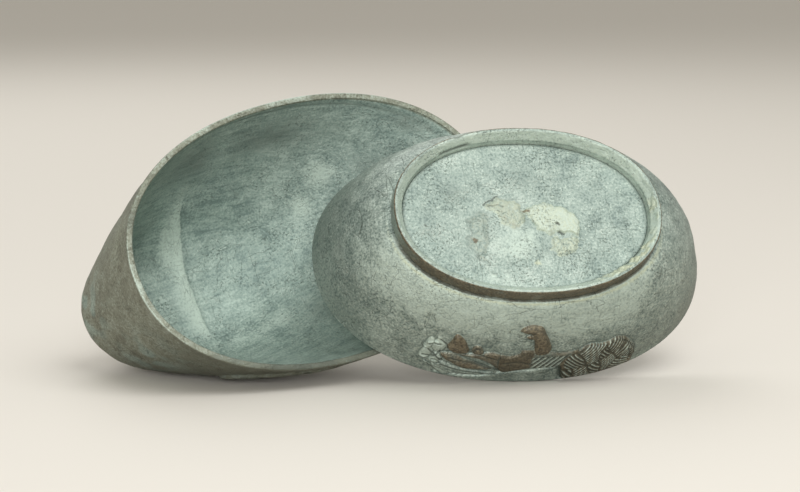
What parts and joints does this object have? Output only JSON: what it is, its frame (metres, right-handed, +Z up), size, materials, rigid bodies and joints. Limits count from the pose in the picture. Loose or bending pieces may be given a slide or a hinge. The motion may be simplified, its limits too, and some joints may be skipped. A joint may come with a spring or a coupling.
{
  "type": "duck-shaped box",
  "caption": "Oval two-part metal box in the form of a sleeping duck, shown open: the lid stands on its side and the upturned base leans on it.",
  "frame": {"origin": "centre of the bounding box's bottom face, on the table top", "axes": "+Z up, +X to the right of a viewer who faces the open lid and the upturned foot, +Y away from that viewer"},
  "size_m": [0.164, 0.0706, 0.073],
  "materials": {
    "patina": "aged cast copper alloy with a grey-green patina, semi-matte",
    "pale_patina": "pale blue-green corroded metal, pitted and matt",
    "brown_metal": "worn brown metal, darker in the recesses"
  },
  "bodies": {
    "lid": {"lid_shell": "patina", "head": "patina", "bill": "brown_metal", "eye_left": "brown_metal", "eye_right": "brown_metal", "tail": "patina", "wing_left": "patina", "wing_right": "patina"},
    "base": {"base_bowl": "patina", "foot_ring": "brown_metal", "foot_plate": "pale_patina", "plumage_relief": "brown_metal", "bird_relief": "brown_metal", "spray_relief": "patina", "flank_band": "patina"}
  },
  "joints": [
    {"name": "base_lift", "type": "slide", "parent": "lid", "child": "base", "axis": [0, 0, 1], "range_m": [0, 0.09]}
  ]
}
